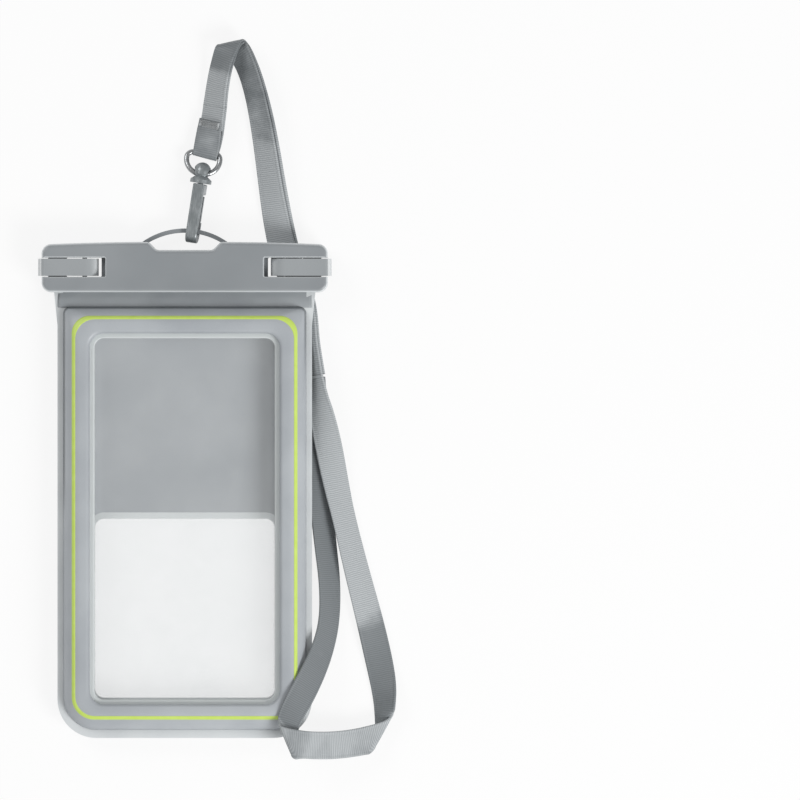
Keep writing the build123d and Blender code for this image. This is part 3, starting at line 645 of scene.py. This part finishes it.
# Stops along the flap for how crisp its ribs are and how light: low values are smoothed and under
# painted shade.
flap_ribs_and_shade = ((0.0, 0.9), (12.0, 0.5), (20.0, 0.4), (60.0, 0.45))
round_band = sweep_band(layer_frames(down + wrap + flap), single_section, 0.0, flap_ribs_and_shade)
tucked_band = sweep_band(layer_frames(tucked), single_section)
sewn_end = woven_piece("strap_sewn_end", (round_band, tucked_band))
print("sewn end in mm:", round(sewn_reaches[-1], 1), "flap:", flap_reach)

# %% [markdown]
# The zigzag is two fine tubes of thread, side by side. They cross the flap from edge to edge in
# short slanting stitches, and stand a little proud of the webbing.

# %% Zigzag stitches across the flap
stitch_low = 10.9
stitch_high = 13.7
stitch_half = 4.9
stitch_count = 22
stitch_row_gap = 0.45
thread_radius = 0.17
thread_proud = 0.06
thread_rise = wrap_radius + webbing_thickness / 2 + thread_proud


def on_flap(across, reach):
    """A place on the front of the flap."""
    index = min(range(len(sewn_reaches)), key=lambda k: abs(sewn_reaches[k] - reach))
    place, side, upward = sewn_frames[index]
    following = sewn_frames[min(index + 1, len(sewn_frames) - 1)][0]
    along = (following - sewn_frames[index - 1][0]).normalized()
    off = reach - sewn_reaches[index]
    return place + along * off + side * across + upward * thread_rise


thread_curve = bpy.data.curves.new("thread", "CURVE")
thread_curve.dimensions = "3D"
thread_curve.bevel_depth = thread_radius / 1000
thread_curve.bevel_resolution = 2
stitch_span = 2 * stitch_half - stitch_row_gap
for row in (0.0, stitch_row_gap):
    stitches = thread_curve.splines.new("POLY")
    stitches.points.add(stitch_count - 1)
    for index, point in enumerate(stitches.points):
        aside = -stitch_half + stitch_span * index / (stitch_count - 1) + row
        reach = stitch_high if index % 2 else stitch_low
        point.co = (*(on_flap(aside, reach) / 1000), 1.0)
thread_holder = bpy.data.objects.new("thread", thread_curve)
bpy.context.collection.objects.link(thread_holder)
thread_mesh = bpy.data.meshes.new_from_object(thread_holder)
thread_mesh.name = "strap_stitches"
bpy.data.objects.remove(thread_holder)
thread = Finish("thread")
thread_shade = thread.noise(900.0, 3.0)
thread_finish = thread.surface(
    {
        "Base Color": thread.mix(thread_shade, grey(196, 200, 202), grey(232, 234, 235)),
        "Roughness": thread.step(thread_shade, 0.2, 0.8, 0.45, 0.7),
        "Normal": thread.bump(thread_shade, 0.0001),
    }
)
thread_mesh.materials.clear()
thread_mesh.materials.append(thread_finish)
strap_stitches = bpy.data.objects.new("strap_stitches", thread_mesh)
bpy.context.collection.objects.link(strap_stitches)
print("stitches:", 2 * stitch_count, "points:", len(thread_mesh.vertices))

# %% [markdown]
# ## Air cushions
#
# The pouch has a cushion of film round its window, front and back, that is filled with air and
# welded down at its foot. Each is lofted from loops of matching points: a loop is a rounded
# rectangle, and its height comes from how far it lies inside the foot. Slow noise along the
# loops gives the slack that welded film has.

# %% Loops of points round the pouch
corner_steps = 10
short_steps = 40
long_steps = 72


def rounded_loop(half, low, high, low_corner, high_corner):
    """Points round a rectangle with rounded corners, anticlockwise as seen from the front."""
    corners = [
        (half - high_corner, high - high_corner, high_corner, 0, short_steps),
        (high_corner - half, high - high_corner, high_corner, 90, long_steps),
        (low_corner - half, low + low_corner, low_corner, 180, short_steps),
        (half - low_corner, low + low_corner, low_corner, 270, long_steps),
    ]
    arcs = []
    for x, y, corner, start, steps in corners:
        arc = []
        for step in range(corner_steps + 1):
            angle = math.radians(start + 90 * step / corner_steps)
            arc.append((x + corner * math.cos(angle), y + corner * math.sin(angle)))
        arcs.append((arc, steps))
    points = []
    for index, (arc, steps) in enumerate(arcs):
        following = arcs[(index + 1) % 4][0][0]
        points += arc
        for step in range(1, steps):
            share = step / steps
            x = arc[-1][0] + (following[0] - arc[-1][0]) * share
            y = arc[-1][1] + (following[1] - arc[-1][1]) * share
            points.append((x, y))
    return points


# %% The front cushion's shape
cushion_half = 51.0
cushion_low = -103.5
cushion_high = 73.9
bottom_corner = 14.0
top_corner = 2.6
weld_top = 9.5
weld_back = 8.5
cushion_top = 18.0
window_half = 39.8
window_low = -92.7
window_high = 62.8
window_corner = 6.0
ring_width = cushion_half - window_half
line_inset = 4.4
line_low = -98.2
line_high = 69.5
line_corner = 8.5
shoulder = 7.0
shoulder_power = 1.75
crown_sag = 0.35
window_turn = 1.5
slow_dent = 0.26
slow_grain = 17
fine_dent = 0.09
fine_grain = 6.5


def cushion_loop(inset):
    """The loop that lies this far inside the cushion's foot."""
    inner_corners = [(line_inset, line_corner), (ring_width, window_corner)]
    return rounded_loop(
        cushion_half - inset,
        between(inset, [(0.0, cushion_low), (line_inset, line_low), (ring_width, window_low)]),
        between(inset, [(0.0, cushion_high), (line_inset, line_high), (ring_width, window_high)]),
        between(inset, [(0.0, bottom_corner)] + inner_corners),
        between(inset, [(0.0, top_corner)] + inner_corners),
    )


def cushion_height(inset):
    """Height over the weld: a steep shoulder, a flat crown and a tight turn at the window."""
    rise = cushion_top - weld_top
    if inset < shoulder:
        return rise * (1 - (1 - inset / shoulder) ** shoulder_power) ** (1 / shoulder_power)
    crown = rise - crown_sag * ((inset - shoulder) / (ring_width - shoulder)) ** 2
    into = inset - (ring_width - window_turn)
    if into > 0:
        crown -= window_turn - math.sqrt(max(0.0, window_turn * window_turn - into * into))
    return crown


def slack(x, y, inset):
    """How far the film stands in or out here: soft dents, most midway from foot to window."""
    slow = noise.noise(Vector((x / slow_grain, y / slow_grain, 3.1)))
    fine = noise.noise(Vector((x / fine_grain, y / fine_grain, 8.4)))
    share = math.sin(math.pi * min(1.0, max(0.0, inset / ring_width)))
    return share * (slow_dent * slow + fine_dent * fine)


def loft(loops):
    """Points and faces through loops of the same number of points, and back to the first."""
    points = [point for loop in loops for point in loop]
    count = len(loops[0])
    faces = []
    for row in range(len(loops)):
        following = (row + 1) % len(loops)
        for k in range(count):
            corners = [(row, k), (row, k + 1), (following, k + 1), (following, k)]
            faces.append([r * count + j % count for r, j in corners])
    return points, faces


def raised(inset, base, sign, lift=0.0):
    """A loop at its height on a cushion. The sign is 1 on the front and -1 on the back."""
    loop = []
    most = cushion_top - weld_top + max(lift, 0.0)
    for x, y in cushion_loop(inset):
        height = cushion_height(inset) + slack(x, y * sign, inset) + lift
        loop.append((x, y, base + sign * min(height, most)))
    return loop


# %% [markdown]
# ## Soft film
#
# The pouch is satin grey film, a little cloudy, with a fine grain from its rollers. Its colour
# drifts slowly and a fine bump breaks its shine. The front cushion has a dark line of painted
# shadow beside its weld at the top and left, where its wall shades the weld, and the back one
# carries plain lime marks.

# %% Film finish
block_middle = (-19.6, 49.9)
block_half = (5.1, 8.2)
outline_middle = (-19.7, 21.0)
outline_half = (4.95, 20.6)
print_corner = 1.2
foot_middle = (0.0, (cushion_low + cushion_high) / 2)
foot_half = (cushion_half, (cushion_high - cushion_low) / 2)


def film_finish(name, pale, deep, printed=False, foot_shaded=False):
    """Satin film between two greys. The printed one carries the plain lime marks of the back, and
    the shaded one a dark line of painted shadow beside the cushion's foot.
    """
    film = Finish(name)
    x, y, z = film.place()
    cloud = film.noise(38.0, 3.0)
    grain = film.noise(2600.0, 2.0)
    tone = film.mix(film.step(cloud * 0.8 + grain * 0.2, 0.3, 0.7), deep, pale)
    if printed:
        block = film.frame_distance(x, y, block_middle, block_half, print_corner)
        border = film.frame_distance(x, y, outline_middle, outline_half, print_corner)
        outline = film.step(abs(border + 0.3), 0.42, 0.24)
        marks = film.sum("MAXIMUM", film.step(block, 0.08, -0.08), outline)
        print_mask = marks * (z < 1.0)
        tone = film.mix(print_mask, tone, grey(198, 236, 20))
    if foot_shaded:
        # Painted shadow: a dark line beside the cushion's foot, only at the top and left, where its
        # wall shades the weld.
        foot = film.frame_distance(x, y, foot_middle, foot_half, top_corner)
        painted_foot_shadow = film.step(abs(foot + 0.35), 0.8, 0.1) * film.step(y - x * 0.6, 10.0, 40.0)
        tone = film.mix(painted_foot_shadow * 0.75, tone, grey(92, 97, 101))
    return film.surface(
        {
            "Base Color": tone,
            "Roughness": film.step(grain, 0.2, 0.8, 0.36, 0.5),
            "Coat Weight": 0.12,
            "Coat Roughness": 0.3,
            "Normal": film.bump(grain * 0.7 + cloud * 0.3, 0.00005),
        }
    )


cushion_film = film_finish("cushion_film", grey(182, 187, 191), grey(168, 173, 178), foot_shaded=True)
back_film = film_finish("back_film", grey(180, 184, 188), grey(166, 171, 176), printed=True)
border_film = film_finish("border_film", grey(222, 226, 227), grey(208, 212, 214))
neck_film = film_finish("neck_film", grey(164, 169, 172), grey(150, 155, 159))

# %% The front cushion
shoulder_insets = [0.0, 0.25, 0.7, 1.3, 2.0, 2.8, 3.6, 4.4, 5.2, 6.0]
crown_insets = [7.0, 8.0, 8.9, 9.7, 10.1, 10.5, 10.8, 11.0, 11.15]
window_seat = 14.4
weld_slip = 0.02
front_loops = [raised(inset, weld_top, 1) for inset in shoulder_insets + crown_insets]
front_loops.append([(x, y, window_seat) for x, y in cushion_loop(ring_width)])
front_loops.append([(x, y, weld_top + weld_slip) for x, y in cushion_loop(ring_width)])
front_cushion = new_piece("cushion_front", *loft(front_loops), cushion_film)
print("front cushion: loops", len(front_loops), "points", len(front_cushion.data.vertices))

# %% [markdown]
# The back cushion is one air pad with a shorter window low down. Its loops run from the foot
# round the shoulder to the back window, through that window's edge, and back to the foot along
# the pocket that the phone slides into.

# %% The back cushion
back_half = 40.4
back_high = -12.3
back_corner = 6.5
back_wall = 4.6
back_shoulder = 7.0
back_edge = [(0.97, 0.3), (0.99, 1.2), (1.0, back_wall)]
pad_corner = 7.6
pad_dent = 0.22
pad_grain = 21
pad_rise = 0.05
pad_steps = 10


def back_loop(share, z):
    """A loop between the shoulder and the back window, with its height."""
    low = between(share, [(0.0, cushion_low + back_shoulder), (1.0, window_low)])
    high = between(share, [(0.0, cushion_high - back_shoulder), (1.0, back_high)])
    half = between(share, [(0.0, cushion_half - back_shoulder), (1.0, back_half)])
    corner = between(share, [(0.0, pad_corner), (1.0, back_corner)])
    depth = pad_dent * math.sin(math.pi * share)
    loop = []
    for x, y in rounded_loop(half, low, high, corner, corner):
        dent = noise.noise(Vector((x / pad_grain, y / pad_grain, 1.7)))
        loop.append((x, y, z - depth * dent))
    return loop


back_insets = shoulder_insets + [6.6]
back_loops = [raised(inset, weld_back, -1) for inset in back_insets]
back_loops += [back_loop(step / pad_steps, pad_rise) for step in range(pad_steps)]
back_loops += [back_loop(share, z) for share, z in back_edge]
pocket = rounded_loop(window_half, window_low, window_high, window_corner, window_corner)
back_loops.append([(x, y, back_wall + weld_slip) for x, y in pocket])
back_loops.append([(x, y, weld_back - weld_slip) for x, y in pocket])
back_points, back_faces = loft(back_loops)
back_faces = [face[::-1] for face in back_faces]
back_cushion = new_piece("cushion_back", back_points, back_faces, back_film)
print("back cushion: loops", len(back_loops))

# %% [markdown]
# ## Coloured line
#
# A narrow lime line is printed thick on each cushion, a little inside its shoulder. It is a low
# bead that follows the cushion's own height, so it dips with every dent.

# %% Lime line on both cushions
lime = Finish("lime_line")
lime_cloud = lime.noise(300.0, 3.0)
lime_finish = lime.surface(
    {
        "Base Color": lime.mix(lime_cloud, grey(196, 222, 92), grey(208, 232, 122)),
        "Roughness": lime.step(lime_cloud, 0.2, 0.8, 0.32, 0.46),
        "Normal": lime.bump(lime.noise(1800.0), 0.00003),
    }
)
line_width = 1.5
line_steps_across = 6
line_edge_rise = 0.02
line_bead = 0.16
line_sunk = -0.5


def lime_line(name, base, sign):
    """The bead on one cushion."""
    shares = [step / line_steps_across for step in range(line_steps_across + 1)]
    sections = [(share, line_edge_rise + line_bead * math.sin(math.pi * share)) for share in shares]
    sections += [(1.0, line_sunk), (0.0, line_sunk)]
    loops = []
    for share, lift in sections:
        inset = line_inset - line_width / 2 + line_width * share
        loops.append(raised(inset, base, sign, lift))
    points, faces = loft(loops)
    if sign < 0:
        faces = [face[::-1] for face in faces]
    return new_piece(name, points, faces, lime_finish)


line_front = lime_line("line_front", weld_top, 1)
line_back = lime_line("line_back", weld_back, -1)

# %% [markdown]
# ## Neck
#
# Above the cushions the pouch is only two thin films, which the jaws pinch. They slope in towards
# the mouth and ripple a little, as film does where it is held. Each is a fine grid with a
# thickness, made here because the solid is dead flat.

# %% Neck films
neck_half = 53.2
neck_steps = 90
neck_middle = (weld_top + weld_back) / 2
neck_film_thickness = 0.24
neck_start = 73.7
neck_free = 7.0
ripple_height = 0.42
ripple_grain = (9, 14)
neck_rises = [
    (73.75, 0.9),
    (74.4, 1.05),
    (75.5, 0.95),
    (76.8, 0.8),
    (78.2, 0.62),
    (79.6, 0.5),
    (81.0, 0.3),
    (83.4, 0.26),
]


def neck(name, sign):
    """One film of the neck. The sign is 1 in front and -1 behind."""
    sheet_rows = []
    for y, rise in neck_rises:
        free = max(0.0, math.sin(math.pi * (y - neck_start) / neck_free))
        row = []
        for step in range(neck_steps + 1):
            x = -neck_half + 2 * neck_half * step / neck_steps
            ripple = noise.noise(Vector((x / ripple_grain[0], y / ripple_grain[1], 5.0 + sign)))
            row.append((x, y, neck_middle + sign * (rise + ripple_height * free * ripple)))
        sheet_rows.append(row)
    inward = -sign * neck_film_thickness
    under = [[(x, y, z + inward) for x, y, z in row] for row in sheet_rows]
    points = [point for row in sheet_rows + under for point in row]
    wide = neck_steps + 1
    deep = len(neck_rises)
    faces = []
    for row in range(deep - 1):
        for k in range(neck_steps):
            corners = [(row, k), (row, k + 1), (row + 1, k + 1), (row + 1, k)]
            top = [r * wide + j for r, j in corners]
            faces.append(top)
            faces.append([index + deep * wide for index in reversed(top)])
    rim = list(range(wide))
    rim += [row * wide + neck_steps for row in range(1, deep)]
    rim += [(deep - 1) * wide + k for k in range(neck_steps - 1, -1, -1)]
    rim += [row * wide for row in range(deep - 2, 0, -1)]
    for first, second in zip(rim, rim[1:] + rim[:1]):
        faces.append([second, first, first + deep * wide, second + deep * wide])
    if sign < 0:
        faces = [face[::-1] for face in faces]
    return new_piece(name, points, faces, neck_film)


neck_front = neck("neck_front", 1)
neck_back = neck("neck_back", -1)
print("neck films:", len(neck_front.data.vertices), "points each")

# %% [markdown]
# ## Windows
#
# Each window is clear film with a frosted welded rim. The rim is found by its distance from the
# window's outline, so one material is clear in the middle and cloudy at the edge.


# %% Window finish
rim_blur = 0.25


def window_finish(name, centre, half, corner, rim):
    """Clear film whose border, this wide, is frosted."""
    clear = Finish(name)
    x, y = clear.place()[:2]
    edge = clear.frame_distance(x, y, centre, half, corner)
    border = clear.step(edge, -rim - rim_blur, -rim + rim_blur)
    haze = clear.noise(45.0, 3.0)
    return clear.surface(
        {
            "Base Color": clear.mix(border, (0.9, 0.93, 0.94, 1.0), grey(226, 231, 231)),
            "Roughness": clear.step(haze + border, 0.3, 1.6, 0.06, 0.36),
            "Alpha": border * 0.68 + haze * 0.06 + 0.1,
            "Coat Weight": 0.3,
            "Normal": clear.bump(haze, 0.0002),
        }
    )


front_middle = (0.0, (window_low + window_high) / 2)
front_half = (window_half, (window_high - window_low) / 2)
back_middle = (0.0, (window_low + back_high) / 2)
back_window_half = (back_half, (back_high - window_low) / 2)
front_glass = window_finish("front_glass", front_middle, front_half, window_corner, 2.0)
back_glass = window_finish("back_glass", back_middle, back_window_half, back_corner, 2.6)

# %% [markdown]
# ## Hard parts
#
# The clamp and its levers are moulded plastic with a fine spark-eroded grain, and a painted
# highlight on their edges, where the colour turns much paler. The hook and the ring are metal, the
# hook under a thin grey paint. Edges are found by how far the surface turns away from the flat
# faces.


# %% Moulded plastic
def moulded(name, face, edge, rough, gloss):
    """Plastic with a fine grain and a painted highlight on its edges."""
    plastic = Finish(name)
    normal = plastic.node("ShaderNodeTexCoord", output="Normal")
    split = plastic.node("ShaderNodeSeparateXYZ", inputs={0: normal}).socket.node.outputs
    lean = 1.0 - abs(Wire(plastic, split[2]))
    grain = plastic.noise(3200.0, 2.0)
    cloud = plastic.noise(26.0, 3.0)
    # This mask paints a highlight where the surface turns away from the flat faces.
    painted_edge_highlight = plastic.step(lean, 0.04, 0.5) * plastic.step(lean, 0.99, 0.8)
    tone = plastic.mix(painted_edge_highlight * 0.8 + cloud * 0.2, face, edge)
    dull = grain * 0.6 + cloud * 0.4
    return plastic.surface(
        {
            "Base Color": tone,
            "Roughness": plastic.step(dull, 0.25, 0.75, rough - 0.05, rough + 0.07),
            "Coat Weight": gloss,
            "Coat Roughness": 0.18,
            "Normal": plastic.bump(grain, 0.00004),
        }
    )


# The second grey of each is the painted highlight on its edges.
clamp_plastic = moulded("clamp_plastic", grey(130, 135, 139), grey(230, 234, 236), 0.4, 0.2)
lever_plastic = moulded("lever_plastic", grey(146, 151, 154), grey(234, 237, 238), 0.26, 0.7)
seal_rubber = moulded("seal_rubber", grey(96, 100, 103), grey(112, 116, 118), 0.7, 0.0)


# %% Metal
def metal(name, face, worn, metallic, rough):
    """Metal with fine scratches and brighter worn patches in a slow noise."""
    steel = Finish(name)
    x, y, z = steel.place()
    scratch = steel.noise(1.0, 3.0, steel.vector(x * 2.4, y * 0.35, z * 2.4))
    cloud = steel.noise(180.0, 3.0)
    tone = steel.mix(steel.step(cloud * 0.6 + scratch * 0.4, 0.35, 0.75), face, worn)
    return steel.surface(
        {
            "Base Color": tone,
            "Metallic": metallic,
            "Roughness": steel.step(scratch, 0.25, 0.75, rough - 0.06, rough + 0.1),
            "Normal": steel.bump(scratch + cloud, 0.00003),
        }
    )


hook_paint = metal("hook_paint", grey(140, 146, 148), grey(172, 177, 179), 0.55, 0.34)
ring_steel = metal("ring_steel", grey(160, 163, 165), grey(196, 198, 199), 0.95, 0.24)
pin_steel = metal("pin_steel", grey(180, 182, 183), grey(205, 206, 207), 1.0, 0.3)

# %% Finishes on the nodes that stay
kept = {
    "rear_jaw": clamp_plastic,
    "front_jaw": clamp_plastic,
    "left_latch": lever_plastic,
    "right_latch": lever_plastic,
    "left_latch_pin": pin_steel,
    "right_latch_pin": pin_steel,
    "mouth_seal": seal_rubber,
    "weld_flange": border_film,
    "front_window": front_glass,
    "back_window": back_glass,
    "hook_body": hook_paint,
    "hook_gate": hook_paint,
    "gate_pin": pin_steel,
    "gate_spring": pin_steel,
    "swivel_eye": hook_paint,
    "d_ring": ring_steel,
}
for name, material in kept.items():
    nodes[name].data.materials.clear()
    nodes[name].data.materials.append(material)
print("CAD nodes that stay:", len(kept))

# %% [markdown]
# ## What rides on what
#
# The cushions, lines, neck films and the two long stretches of strap ride on one body, and the
# CAD nodes that they stand for are hidden. The sewn end and its stitches keep their places in their
# points.

# %% Bodies, slots and what each piece stands for
standing_for = [
    (front_cushion, "front_cushion", "film_grey"),
    (back_cushion, "back_cushion", "film_grey"),
    (line_front, "accent_line_front", "line_lime"),
    (line_back, "accent_line_back", "line_lime"),
    (neck_front, "mouth_film_front", "film_grey"),
    (neck_back, "mouth_film_back", "film_grey"),
    (doubled_strap, "lanyard_doubled_strap", "webbing_grey"),
    (loop_strap, "lanyard_loop", "webbing_grey"),
]
for piece, node, slot in standing_for:
    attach(piece, "root")
    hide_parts(node)
for piece in (sewn_end, strap_stitches):
    tuple(bar_middle / 1000)
    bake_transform(piece)
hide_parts("lanyard_sewn_end")

hook_nodes = ("d_ring", "swivel_eye", "hook_body", "hook_gate", "gate_pin", "gate_spring")
on_the_strap = [sewn_end, strap_stitches]
on_the_strap += [nodes[name] for name in hook_nodes]
line_length(doubled_path)
line_length(loop_path)
